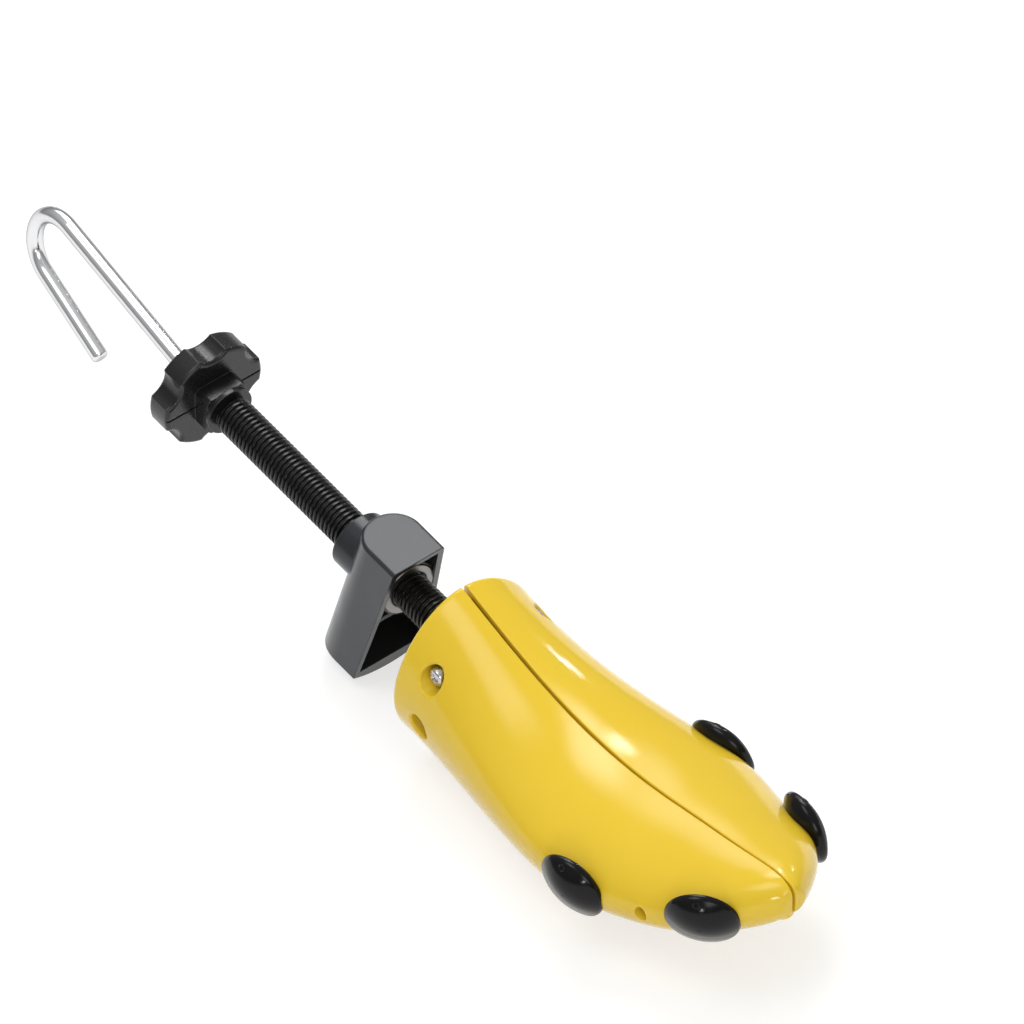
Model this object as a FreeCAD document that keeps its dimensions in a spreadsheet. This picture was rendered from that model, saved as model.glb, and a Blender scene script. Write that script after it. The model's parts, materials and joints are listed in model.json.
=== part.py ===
import FreeCAD, Part
import math
import os

import Sketcher
from FreeCAD import Placement, Rotation, Vector

# The parts are drawn along the rod: X runs towards the toe and is 0 at the forepart's rear face, Z is
# up from the rod's axis, and Y is to the left. Lengths are in millimetres and angles in degrees.
values = {
    "running_clearance": 0.05,
    "face_clearance": 0.3,
    "rod_diameter": 6.0,
    "rod_front": 73.0,
    "rod_end_round": 1.2,
    "bow_start": 154.0,
    "bow_angle": 8.2,
    "bow_radius": 60.0,
    "bend_radius": 13.6,
    "bend_reach": 225.6,
    "leg_flare_angle": 18.5,
    "leg_length": 36.4,
    "hook_roll_angle": 12.0,
    "collar_diameter": 10.0,
    "collar_length": 3.0,
    "clip_diameter": 11.0,
    "clip_thickness": 1.2,
    "tube_diameter": 14.0,
    "neck_diameter": 10.0,
    "ring_diameter": 13.0,
    "ring_thickness": 1.0,
    "ring_groove_depth": 0.8,
    "tube_end_margin": 1.8,
    "flange_front": 130.0,
    "flange_diameter": 18.4,
    "flange_thickness": 1.8,
    "hub_side": 16.5,
    "hub_length": 7.0,
    "knob_diameter": 40.8,
    "knob_thickness": 10.2,
    "knob_lobe_count": 6.0,
    "scallop_radius": 8.0,
    "scallop_depth": 2.8,
    "knob_edge_round": 1.4,
    "knob_cap": 2.0,
    "knob_line_width": 0.9,
    "knob_line_depth": 0.7,
    "hub_bevel": 1.6,
    "rear_wall": 4.0,
    "shell_wall": 3.0,
    "toe_solid": 9.0,
    "tube_notch": 1.0,
    "rim_round": 1.8,
    "split_round": 0.5,
    "tip_round": 3.6,
    "split_gap_rear": 1.5,
    "split_gap_toe": 0.24,
    "spread_angle": 3.8,
    "spread_margin": 0.3,
    "pin_diameter": 3.0,
    "pin_setback": 6.5,
    "pin_cover": 2.5,
    "lug_diameter": 8.0,
    "screw_reach": 14.5,
    "screw_spacing": 20.0,
    "screw_hole_diameter": 9.4,
    "screw_hole_round": 1.0,
    "screw_head_diameter": 8.0,
    "screw_head_height": 2.8,
    "screw_diameter": 4.0,
    "screw_seat": 3.0,
    "boss_diameter": 12.4,
    "block_play": 1.8,
    "block_length": 9.2,
    "block_hub_diameter": 16.0,
    "arm_end_clearance": 3.0,
    "arm_height": 6.6,
    "plate_gap": 8.6,
    "plate_thickness": 3.4,
    "plate_height": 26.0,
    "plate_ear": 5.5,
    "plate_depth": 20.0,
    "plate_overhang": 4.0,
    "rib_thickness": 3.0,
    "wedge_front": 70.0,
    "wedge_length": 24.0,
    "wedge_travel": 24.0,
    "wedge_rear_width": 13.0,
    "wedge_front_width": 31.0,
    "wedge_height": 22.0,
    "wedge_bore": 7.2,
    "nut_width": 10.0,
    "nut_thickness": 6.0,
    "nut_inset": 1.0,
    "heel_top": 19.4,
    "heel_bottom": 49.6,
    "heel_sag": 4.4,
    "heel_top_front": 24.0,
    "heel_top_width": 22.0,
    "heel_top_depth": 25.0,
    "heel_bottom_front": 41.3,
    "heel_bottom_width": 32.0,
    "heel_bottom_depth": 26.0,
    "heel_wall": 2.4,
    "heel_crown_round": 1.4,
    "heel_boss_diameter": 22.0,
    "heel_boss_front": 30.0,
    "heel_boss_length": 28.0,
    "heel_rib_thickness": 1.8,
    "heel_rib_inset": 1.0,
    "plug_diameter": 28.4,
    "plug_thickness": 10.4,
    "plug_rim_round": 1.6,
    "plug_lift": 0.4,
    "plug_stem_diameter": 5.0,
    "plug_stem_length": 9.0,
}

# The forepart's cross sections: distance from the rear face, half width, top, sole, and how far up from
# the sole the section is widest.
sections = {
    "rear": (0.0, 30.0, 30.0, -34.5, 0.42),
    "instep": (25.0, 30.7, 24.0, -34.7, 0.47),
    "waist": (55.0, 34.7, 19.2, -31.4, 0.53),
    "tread": (85.0, 39.0, 19.6, -24.4, 0.56),
    "ball": (115.0, 39.5, 25.5, -13.6, 0.50),
    "vamp": (145.0, 33.0, 34.0, 1.0, 0.42),
    "toe": (168.0, 22.0, 41.0, 15.5, 0.40),
    "cap": (177.5, 12.6, 42.6, 23.0, 0.42),
    "tip": (183.5, 4.6, 40.6, 30.5, 0.45),
}
section_words = ("reach", "half_width", "top", "sole", "widest_ratio")
sole_flat = 0.35
section_fullness = 0.50

# Plugs and open holes: side, distance from the rear face, how far up from the sole, how far the axis
# leans towards the toe from square to the plan, and how far it droops below the level.
plugs = {
    "plug_right_ball": (-1, 113.4, 0.55, 9.0, 6.0),
    "plug_right_toe": (-1, 164.4, 0.52, 17.0, 8.0),
    "plug_left_ball": (1, 92.5, 0.55, -8.0, -13.0),
    "plug_left_toe": (1, 148.0, 0.48, -3.0, -5.0),
}
open_holes = {
    "right_open_hole": (-1, 142.6, 0.45, 0.0, 10.0),
    "left_open_hole": (1, 122.0, 0.47, 0.0, 10.0),
}
holes = {**plugs, **open_holes}

for name, numbers in sections.items():
    for word, number in zip(section_words, numbers):
        values[name + "_" + word] = number
for name, (side, reach, height, lean, droop) in holes.items():
    values[name + "_reach"] = reach
    values[name + "_height_ratio"] = height
    values[name + "_lean_angle"] = lean
    values[name + "_droop_angle"] = droop

doc = FreeCAD.newDocument("shoe_stretcher")
sheet = doc.addObject("Spreadsheet::Sheet", "sizes")
for row, (alias, number) in enumerate(values.items(), start=1):
    sheet.set("A%d" % row, alias)
    sheet.set("B%d" % row, str(number))
    sheet.setAlias("B%d" % row, alias)
doc.recompute()

pieces = {}


def size(text):
    """The value of an expression written with the sheet's own words."""
    return float(sheet.evalExpression(bind(text)))


def bind(text):
    """An expression on the sheet's words, ready for setExpression."""
    out = []
    for word in text.replace("(", " ( ").replace(")", " ) ").split():
        out.append("sizes." + word if word in values else word)
    return " ".join(out)


def new_body(label):
    body = doc.addObject("PartDesign::Body", label)
    body.Label = label
    pieces[label] = body
    return body


def new_sketch(body, plane, name, offset="0"):
    sketch = body.newObject("Sketcher::SketchObject", name)
    support = next(o for o in body.Origin.OriginFeatures if o.Role == plane)
    sketch.AttachmentSupport = (support, [""])
    sketch.MapMode = "FlatFace"
    sketch.setExpression("AttachmentOffset.Base.z", bind(offset))
    return sketch


def hold(sketch, kind, places, text):
    """Add a dimension whose value is a sheet expression."""
    index = sketch.addConstraint(Sketcher.Constraint(kind, *places, size(text)))
    sketch.setExpression("Constraints[%d]" % index, bind(text))


def polygon(sketch, corners):
    """A closed outline whose corner coordinates are sheet expressions."""
    spots = [Vector(size(u), size(v), 0) for u, v in corners]
    count = len(spots)
    first = sketch.GeometryCount
    for index in range(count):
        sketch.addGeometry(Part.LineSegment(spots[index], spots[(index + 1) % count]), False)
    for index in range(count):
        after = first + (index + 1) % count
        sketch.addConstraint(Sketcher.Constraint("Coincident", first + index, 2, after, 1))
    for index, (u, v) in enumerate(corners):
        hold(sketch, "DistanceX", (-1, 1, first + index, 1), u)
        hold(sketch, "DistanceY", (-1, 1, first + index, 1), v)


def circle(sketch, u, v, diameter):
    centre = Vector(size(u), size(v), 0)
    index = sketch.addGeometry(Part.Circle(centre, Vector(0, 0, 1), size(diameter) / 2), False)
    hold(sketch, "DistanceX", (-1, 1, index, 3), u)
    hold(sketch, "DistanceY", (-1, 1, index, 3), v)
    hold(sketch, "Diameter", (index,), diameter)


def feature(body, kind, name, profile, **expressions):
    made = body.newObject("PartDesign::" + kind, name)
    made.Profile = profile
    for prop, text in expressions.items():
        made.setExpression(prop, bind(text))
    return made


def turned(label, profile):
    """A piece turned about the rod's axis from (reach, radius) corners."""
    body = new_body(label)
    sketch = new_sketch(body, "XZ_Plane", label + "_profile")
    polygon(sketch, profile)
    turn = feature(body, "Revolution", label + "_turn", sketch)
    turn.ReferenceAxis = (sketch, ["H_Axis"])
    turn.Angle = 360.0
    return body


def padded(body, plane, name, offset, length, draw):
    sketch = new_sketch(body, plane, name + "_outline", offset)
    draw(sketch)
    return feature(body, "Pad", name, sketch, Length=length)


def pocket_through(body, plane, name, draw):
    sketch = new_sketch(body, plane, name + "_outline")
    draw(sketch)
    cut = feature(body, "Pocket", name, sketch)
    cut.Type = "ThroughAll"
    cut.Midplane = True
    return cut


def plain(label, shape):
    piece = doc.addObject("Part::Feature", label)
    piece.Label = label
    piece.Shape = shape
    pieces[label] = piece
    return piece


def station(name):
    return tuple(size(name + "_" + word) for word in section_words)


def section_wire(reach, half_width, top, sole, widest):
    """One half of a cross section: a domed side on a flat sole, closed along the middle plane."""
    middle = sole + widest * (top - sole)
    foot = sole_flat * half_width
    full = section_fullness
    crown = Vector(reach, 0, top)
    side = Vector(reach, half_width, middle)
    edge = Vector(reach, foot, sole)
    keel = Vector(reach, 0, sole)
    over = Part.BezierCurve()
    over.setPoles([
        crown,
        Vector(reach, full * half_width, top),
        Vector(reach, half_width, middle + full * (top - middle)),
        side,
    ])
    under = Part.BezierCurve()
    under.setPoles([
        side,
        Vector(reach, half_width, middle - full * (middle - sole)),
        Vector(reach, foot + full * (half_width - foot), sole),
        edge,
    ])
    return Part.Wire([
        over.toShape(),
        under.toShape(),
        Part.LineSegment(edge, keel).toShape(),
        Part.LineSegment(keel, crown).toShape(),
    ])


def forepart_solid():
    return Part.makeLoft([section_wire(*station(name)) for name in sections], True, False)


def cavity_solid(wall):
    """The hollow of one half, a wall's thickness inside the outer form, ending before the solid toe."""
    wires = []
    for name in list(sections)[:6]:
        reach, half_width, top, sole, widest = station(name)
        wires.append(section_wire(reach, half_width - wall, top - wall, sole + wall, widest))
    hollow = Part.makeLoft(wires, True, False)
    start, end = size("rear_wall"), size("vamp_reach - toe_solid")
    room = Part.makeBox(end - start, 4 * size("ball_half_width"), 8 * size("ball_half_width"),
                        Vector(start, -size("ball_half_width"), -4 * size("ball_half_width")))
    return hollow.common(room)


def between(reach, column):
    """A section value, read off in a straight line between the sections on either side."""
    rows = [station(name) for name in sections]
    for low, high in zip(rows, rows[1:]):
        if low[0] <= reach <= high[0]:
            share = (reach - low[0]) / (high[0] - low[0])
            return low[column] + share * (high[column] - low[column])
    raise ValueError("no section at %.1f" % reach)


def split_prism():
    """What is cut off each half at the middle: the tapering split, and room for the toe to swing."""
    pin = size("tip_reach - pin_setback")
    tip = size("tip_reach") + 1
    rear_y = size("split_gap_rear") / 2
    toe_y = size("split_gap_toe") / 2
    swing = math.tan(math.radians(size("spread_angle + spread_margin")))
    outline = [
        Vector(-1, -5, -100),
        Vector(-1, rear_y, -100),
        Vector(pin, toe_y, -100),
        Vector(tip, toe_y + (tip - pin) * swing, -100),
        Vector(tip, -5, -100),
    ]
    face = Part.Face(Part.makePolygon(outline + outline[:1]))
    return face.extrude(Vector(0, 0, 250))


def rounded_half():
    """One half's outer form, with its rear rim, its toe and the edges along the split rounded."""
    half = forepart.cut(split_prism())
    rim = [e for e in half.Edges if e.BoundBox.XMax < 0.01 and e.BoundBox.YMax > size("split_gap_rear")]
    half = half.makeFillet(size("rim_round"), rim)
    last = size("tip_reach") - 0.01
    tip = [e for e in half.Edges if e.BoundBox.XMin > last and e.BoundBox.YMax > size("split_gap_rear")]
    half = half.makeFillet(size("tip_round"), tip)
    split = [e for e in half.Edges if e.BoundBox.YMax < 1 and e.BoundBox.XLength > 5]
    return half.makeFillet(size("split_round"), split)


def upright(diameter, low, high):
    return Part.makeCylinder(diameter / 2, high - low, Vector(size("tip_reach - pin_setback"), 0, low))


def across(diameter, reach, height, near, far):
    return Part.makeCylinder(diameter / 2, far - near, Vector(reach, near, height), Vector(0, 1, 0))


def pin_levels():
    """The pin's ends and the two levels where the knuckles meet."""
    reach = size("tip_reach - pin_setback")
    low = between(reach, 3) + size("pin_cover")
    high = between(reach, 2) - size("pin_cover")
    third = (high - low) / 3
    return low, low + third, low + 2 * third, high


def plate_back():
    return size("plate_gap + plate_thickness")


def screw_heights():
    return size("screw_spacing") / 2, -size("screw_spacing") / 2


def plug_axis(name):
    """The plug's seat on the forepart and its outward direction, on the left side."""
    reach = size(name + "_reach")
    share = size(name + "_height_ratio")
    height = between(reach, 3) + share * (between(reach, 2) - between(reach, 3))
    base = Vector(reach, 0, height)
    ray = Part.LineSegment(base, base + Vector(0, 4 * size("ball_half_width"), 0)).toShape()
    seat = base + Vector(0, ray.common(forepart).Length, 0)
    skin = min(forepart.Faces, key=lambda face: face.distToShape(Part.Vertex(seat))[0])
    level = skin.normalAt(*skin.Surface.parameter(seat))
    turn = math.atan2(level.x, level.y) if level.y > 0 else math.atan2(-level.x, -level.y)
    turn = turn + math.radians(size(name + "_lean_angle"))
    level = Vector(math.sin(turn), math.cos(turn), 0)
    droop = math.radians(size(name + "_droop_angle"))
    return seat, level * math.cos(droop) - Vector(0, 0, math.sin(droop))


def shell_half(side):
    """The left half of the forepart; the right half is its mirror image with its own knuckles."""
    outer = rounded_half()
    shell = outer.cut(cavity_solid(size("shell_wall")))
    back = plate_back()
    lining = []
    for height in screw_heights():
        lining.append(across(size("boss_diameter"), size("screw_reach"), height, back, 60))
    rib = size("rib_thickness")
    for reach in (size("wedge_front - wedge_travel") + rib, size("wedge_front")):
        lining.append(
            Part.makeBox(rib, 60, size("plate_height"),
                         Vector(reach - rib, size("plate_depth"), -size("plate_height") / 2))
        )
    for item in lining:
        shell = shell.fuse(item.common(outer))
    shell = shell.removeSplitter()
    seat = back + size("screw_seat")
    for height in screw_heights():
        shell = shell.cut(across(size("screw_hole_diameter"), size("screw_reach"), height, seat, 80))
        mouth = [e for e in shell.Edges if abs(e.BoundBox.Center.z - height) < 2
                 and abs(e.BoundBox.XLength - size("screw_hole_diameter")) < 0.2
                 and e.BoundBox.YMin > seat + 1]
        shell = shell.makeFillet(size("screw_hole_round"), mouth)
        hole = size("screw_diameter + 2 * running_clearance")
        shell = shell.cut(across(hole, size("screw_reach"), height, back - 1, seat + 1))
    notch = size("tube_diameter / 2 + tube_notch")
    shell = shell.cut(Part.makeCylinder(notch, 20, Vector(-10, 0, 0), Vector(1, 0, 0)))
    bore = size("plug_stem_diameter + 2 * running_clearance")
    for name, (where, *rest) in holes.items():
        if where == side:
            seat_point, outward = plug_axis(name)
            depth = size("plug_stem_length + face_clearance")
            hole = Part.makeCylinder(bore / 2, depth + 5, seat_point - outward * depth, outward)
            shell = shell.cut(hole)
    low, first, second, high = pin_levels()
    gap = size("face_clearance") / 2
    lug = size("lug_diameter")
    room = lug + 2 * size("face_clearance")
    own, other = ((first, second),), ((low, first), (second, high))
    if side < 0:
        own, other = other, own
    for level, above in other:
        shell = shell.cut(upright(room, level - gap, above + gap))
    for level, above in own:
        shell = shell.fuse(upright(lug, level + gap, above - gap))
    pin = size("pin_diameter") + (2 * size("running_clearance") if side > 0 else 0)
    shell = shell.cut(upright(pin, low, high))
    return shell if side > 0 else shell.mirror(Vector(), Vector(0, 1, 0))


def plug_shape(name, side):
    """A lens-shaped cap hollowed to clear the forepart under it, with a stem for the hole."""
    seat, outward = plug_axis(name)
    under = forepart.copy()
    under.translate(outward * size("face_clearance"))
    if side < 0:
        under = under.mirror(Vector(), Vector(0, 1, 0))
        seat.y = -seat.y
        outward.y = -outward.y
    radius, rise, lift = size("plug_diameter / 2"), size("plug_thickness / 2"), size("plug_lift")
    ball = (radius ** 2 + rise ** 2) / (2 * rise)
    dome = Part.makeSphere(ball, Vector(0, 0, lift + rise - ball))
    dome = dome.common(Part.makeSphere(ball, Vector(0, 0, lift - rise + ball)))
    rim = [edge for edge in dome.Edges if abs(edge.BoundBox.XLength - 2 * radius) < 0.01]
    dome = dome.makeFillet(size("plug_rim_round"), rim)
    dome.Placement = Placement(seat, Rotation(Vector(0, 0, 1), outward))
    cap = dome.cut(under)
    cap = max(cap.Solids, key=lambda solid: solid.Volume)
    length = size("plug_stem_length")
    inner_end = seat - outward * length
    stem = Part.makeCylinder(size("plug_stem_diameter") / 2, length + rise / 2, inner_end, outward)
    return cap.fuse(stem).removeSplitter()


def hook_shape():
    """The rod's centre line in its own plane: straight, a slight bow, the bend, and the flared leg."""
    def arc(centre, radius, start, end):
        first, middle, last = (math.radians(a) for a in (start, (start + end) / 2, end))
        spots = [centre + Vector(math.cos(a), 0, math.sin(a)) * radius for a in (first, middle, last)]
        return Part.Arc(*spots).toShape(), spots[0], spots[2]

    bow = size("bow_angle")
    flare = size("leg_flare_angle")
    radius = size("rod_diameter") / 2
    front = Vector(size("rod_front"), 0, 0)
    bow_centre = Vector(-size("bow_start"), 0, size("bow_radius"))
    bow_edge, bow_from, bow_to = arc(bow_centre, size("bow_radius"), 270, 270 - bow)
    along = Vector(-math.cos(math.radians(bow)), 0, math.sin(math.radians(bow)))
    bend = size("bend_radius")
    side = Vector(math.sin(math.radians(bow)), 0, math.cos(math.radians(bow)))
    centre_x = -size("bend_reach")
    run = (bow_to.x - centre_x - side.x * bend) / -along.x
    bend_from = bow_to + along * run
    bend_centre = bend_from - side * bend
    bend_edge, bend_from, bend_to = arc(bend_centre, bend, 90 - bow, 270 - flare)
    leg = Vector(math.cos(math.radians(flare)), 0, -math.sin(math.radians(flare)))
    tip = bend_to + leg * size("leg_length")
    path = Part.Wire([
        Part.LineSegment(front, bow_from).toShape(),
        bow_edge,
        Part.LineSegment(bow_to, bend_from).toShape(),
        bend_edge,
        Part.LineSegment(bend_to, tip).toShape(),
    ])
    ring = Part.Wire(Part.Circle(front, Vector(1, 0, 0), radius).toShape())
    rod = path.makePipeShell([ring], True, False)
    expected = math.pi * radius ** 2 * path.Length
    print("hook rod volume %.0f of %.0f" % (rod.Volume, expected))
    ends = [e for e in rod.Edges if abs((e.BoundBox.Center - tip).Length) < 0.01]
    rod = rod.makeFillet(size("rod_end_round"), ends)
    return rod


def ramp_spots():
    """Where the wedge's front corner touches the ramp, closed, half open and open."""
    pin = size("tip_reach - pin_setback")
    half = size("wedge_front_width") / 2 + size("face_clearance")
    spots = []
    for share in (1.0, 0.5, 0.0):
        swing = math.radians(size("spread_angle")) * share
        dx = size("wedge_front") - share * size("wedge_travel") - pin
        spots.append(Vector(pin + dx * math.cos(swing) - half * math.sin(swing),
                            dx * math.sin(swing) + half * math.cos(swing), 0))
    return spots


def ramp_plate(side):
    """A plate screwed inside one half, whose curved ramp rides on the wedge's corner."""
    open_spot, half_spot, closed_spot = ramp_spots()
    near, back, deep = size("plate_gap"), plate_back(), size("plate_depth")
    rear = size("screw_reach - plate_ear")
    block_front = size("rear_wall + block_play + block_length + face_clearance")
    front = closed_spot.x + size("plate_overhang")
    level = -size("plate_height") / 2
    lift = Vector(0, 0, level)
    ramp = Part.Arc(open_spot + lift, half_spot + lift, closed_spot + lift).toShape()
    shoulder = open_spot.x - (near - open_spot.y)
    start = Vector(shoulder, near, level)
    if shoulder > open_spot.x - 0.2:
        start = Vector(open_spot.x - 0.2, near, level)
    corners = [
        closed_spot + lift,
        Vector(front, closed_spot.y, level),
        Vector(front, deep, level),
        Vector(open_spot.x, deep, level),
        Vector(block_front + size("boss_diameter") / 2, back, level),
        Vector(rear, back, level),
        Vector(rear, near, level),
        start,
        open_spot + lift,
    ]
    outline = Part.Wire([ramp] + Part.makePolygon(corners).Edges)
    plate = Part.Face(outline).extrude(Vector(0, 0, size("plate_height")))
    plate = plate.common(cavity_solid(size("shell_wall + face_clearance")))
    slot = size("arm_height / 2 + face_clearance")
    plate = plate.cut(Part.makeBox(block_front, 60, 2 * slot, Vector(0, -30, -slot)))
    for height in screw_heights():
        plate = plate.cut(across(size("screw_diameter"), size("screw_reach"), height, 0, 60))
    return plate if side > 0 else plate.mirror(Vector(), Vector(0, 1, 0))


def screw_pair(side):
    seat = plate_back() + size("screw_seat")
    screws = []
    for height in screw_heights():
        reach = size("screw_reach")
        head = across(size("screw_head_diameter"), reach, height, seat, seat + size("screw_head_height"))
        shank = across(size("screw_diameter"), reach, height, size("plate_gap"), seat)
        screws.append(head.fuse(shank).removeSplitter())
    pair = Part.makeCompound(screws)
    return pair if side > 0 else pair.mirror(Vector(), Vector(0, 1, 0))


def threaded_tube():
    neck = "rear_wall + block_play - 2 * running_clearance"
    groove = "rear_wall + block_play + block_length + 2 * running_clearance"
    end = groove + " + ring_thickness + tube_end_margin"
    spigot = "- flange_front - flange_thickness - hub_length - knob_thickness + knob_cap"
    bore = "rod_diameter / 2 + running_clearance"
    cut = "neck_diameter / 2 - ring_groove_depth"
    return turned("threaded_tube", [
        (spigot, bore),
        (spigot, "neck_diameter / 2"),
        ("- flange_front", "neck_diameter / 2"),
        ("- flange_front", "tube_diameter / 2"),
        (neck, "tube_diameter / 2"),
        (neck, "neck_diameter / 2"),
        (groove, "neck_diameter / 2"),
        (groove, cut),
        (groove + " + ring_thickness", cut),
        (groove + " + ring_thickness", "neck_diameter / 2"),
        (end, "neck_diameter / 2"),
        (end, bore),
    ])


def rings():
    groove = "rear_wall + block_play + block_length + 2 * running_clearance"
    cut = "neck_diameter / 2 - ring_groove_depth"
    turned("tube_snap_ring", [
        (groove, cut),
        (groove, "ring_diameter / 2"),
        (groove + " + ring_thickness", "ring_diameter / 2"),
        (groove + " + ring_thickness", cut),
    ])
    clip = groove + " + ring_thickness + tube_end_margin + 2 * running_clearance"
    turned("rod_retaining_clip", [
        (clip, "rod_diameter / 2"),
        (clip, "clip_diameter / 2"),
        (clip + " + clip_thickness", "clip_diameter / 2"),
        (clip + " + clip_thickness", "rod_diameter / 2"),
    ])
    back = "- flange_front - flange_thickness - hub_length - knob_thickness - 2 * running_clearance"
    turned("rod_thrust_collar", [
        (back + " - collar_length", "rod_diameter / 2"),
        (back + " - collar_length", "collar_diameter / 2"),
        (back, "collar_diameter / 2"),
        (back, "rod_diameter / 2"),
    ])


def star_knob():
    body = new_body("star_knob")
    face = "- flange_front - flange_thickness - hub_length"
    back = face + " - knob_thickness"
    padded(body, "YZ_Plane", "knob_disc", back, "knob_thickness",
           lambda sketch: circle(sketch, "0", "0", "knob_diameter"))
    doc.recompute()
    scallop = new_sketch(body, "YZ_Plane", "scallop_outline", back)
    circle(scallop, "0", "knob_diameter / 2 + scallop_radius - scallop_depth", "2 * scallop_radius")
    cut = feature(body, "Pocket", "scallop", scallop)
    cut.Type = "ThroughAll"
    cut.Midplane = True
    pattern = body.newObject("PartDesign::PolarPattern", "scallops")
    pattern.Originals = [cut]
    pattern.Axis = (scallop, ["N_Axis"])
    pattern.Angle = 360.0
    pattern.setExpression("Occurrences", bind("knob_lobe_count"))
    body.Tip = pattern
    doc.recompute()
    rims = [
        "Edge%d" % number
        for number, edge in enumerate(pattern.Shape.Edges, start=1)
        if edge.BoundBox.XLength < 0.01
    ]
    rounded = body.newObject("PartDesign::Fillet", "knob_edges")
    rounded.Base = (pattern, rims)
    rounded.setExpression("Radius", bind("knob_edge_round"))
    line = new_sketch(body, "YZ_Plane", "knob_line_outline", face + " - knob_line_depth")
    long, thin = "knob_diameter / 2", "knob_line_width / 2"
    polygon(line, [("- " + long, "- " + thin), (long, "- " + thin), (long, thin), ("- " + long, thin)])
    cut = feature(body, "Pocket", "knob_line", line)
    cut.Type = "ThroughAll"
    cut.Reversed = True
    half = "hub_side / 2"
    padded(body, "YZ_Plane", "knob_hub", face + " - knob_edge_round", "hub_length + knob_edge_round",
           lambda sketch: polygon(sketch, [("- " + half, "- " + half), (half, "- " + half),
                                           (half, half), ("- " + half, half)]))
    doc.recompute()
    hub = body.Tip
    corners = [
        "Edge%d" % number
        for number, edge in enumerate(hub.Shape.Edges, start=1)
        if edge.Length > size("hub_length") - 0.5
        and edge.BoundBox.DiagonalLength - edge.BoundBox.XLength < 0.01
        and edge.BoundBox.XMax > -size("flange_front + flange_thickness") - 0.01
    ]
    bevels = body.newObject("PartDesign::Chamfer", "hub_bevels")
    bevels.Base = (hub, corners)
    bevels.setExpression("Size", bind("hub_bevel"))
    body.Tip = bevels
    padded(body, "YZ_Plane", "hub_flange", "- flange_front - flange_thickness", "flange_thickness",
           lambda sketch: circle(sketch, "0", "0", "flange_diameter"))
    socket = new_sketch(body, "YZ_Plane", "spigot_outline", back + " + knob_cap")
    circle(socket, "0", "0", "neck_diameter")
    cut = feature(body, "Pocket", "spigot_socket", socket)
    cut.Type = "ThroughAll"
    cut.Reversed = True
    pocket_through(body, "YZ_Plane", "rod_hole",
                   lambda sketch: circle(sketch, "0", "0", "rod_diameter + 2 * running_clearance"))
    return body


def spindle_block():
    body = new_body("spindle_block")
    rear = "rear_wall + block_play"
    padded(body, "YZ_Plane", "block_hub", rear, "block_length",
           lambda sketch: circle(sketch, "0", "0", "block_hub_diameter"))
    wide, tall = "( rear_half_width - shell_wall - arm_end_clearance )", "arm_height / 2"
    padded(body, "YZ_Plane", "block_arms", rear, "block_length",
           lambda sketch: polygon(sketch, [("- " + wide, "- " + tall), (wide, "- " + tall),
                                           (wide, tall), ("- " + wide, tall)]))
    pocket_through(body, "YZ_Plane", "neck_bore",
                   lambda sketch: circle(sketch, "0", "0", "neck_diameter + 2 * running_clearance"))
    return body


def hexagon(sketch, width):
    """A hexagon across flats, with two corners on the sketch's X axis."""
    corner, quarter = "%s / 1.7320508" % width, "%s / 3.4641016" % width
    polygon(sketch, [(corner, "0"), (quarter, width + " / 2"), ("- " + quarter, width + " / 2"),
                     ("- " + corner, "0"), ("- " + quarter, "- %s / 2" % width),
                     (quarter, "- %s / 2" % width)])


def spreading_wedge():
    body = new_body("spreading_wedge")
    rear = "wedge_front - wedge_length"
    small, large = "wedge_rear_width / 2", "wedge_front_width / 2"
    block = padded(body, "XY_Plane", "wedge_block", "0", "wedge_height",
                   lambda sketch: polygon(sketch, [(rear, "- " + small), ("wedge_front", "- " + large),
                                                   ("wedge_front", large), (rear, small)]))
    block.Midplane = True
    pocket_through(body, "YZ_Plane", "wedge_hole", lambda sketch: circle(sketch, "0", "0", "wedge_bore"))
    seat = new_sketch(body, "YZ_Plane", "nut_outline", "wedge_front - nut_inset - nut_thickness")
    hexagon(seat, "nut_width")
    cut = feature(body, "Pocket", "nut_pocket", seat)
    cut.Type = "ThroughAll"
    cut.Reversed = True
    nut = new_body("wedge_nut")
    padded(nut, "YZ_Plane", "nut_body", "wedge_front - nut_inset - nut_thickness", "nut_thickness",
           lambda sketch: hexagon(sketch, "nut_width"))
    pocket_through(nut, "YZ_Plane", "nut_bore",
                   lambda sketch: circle(sketch, "0", "0", "rod_diameter + 2 * running_clearance"))
    return body


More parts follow.
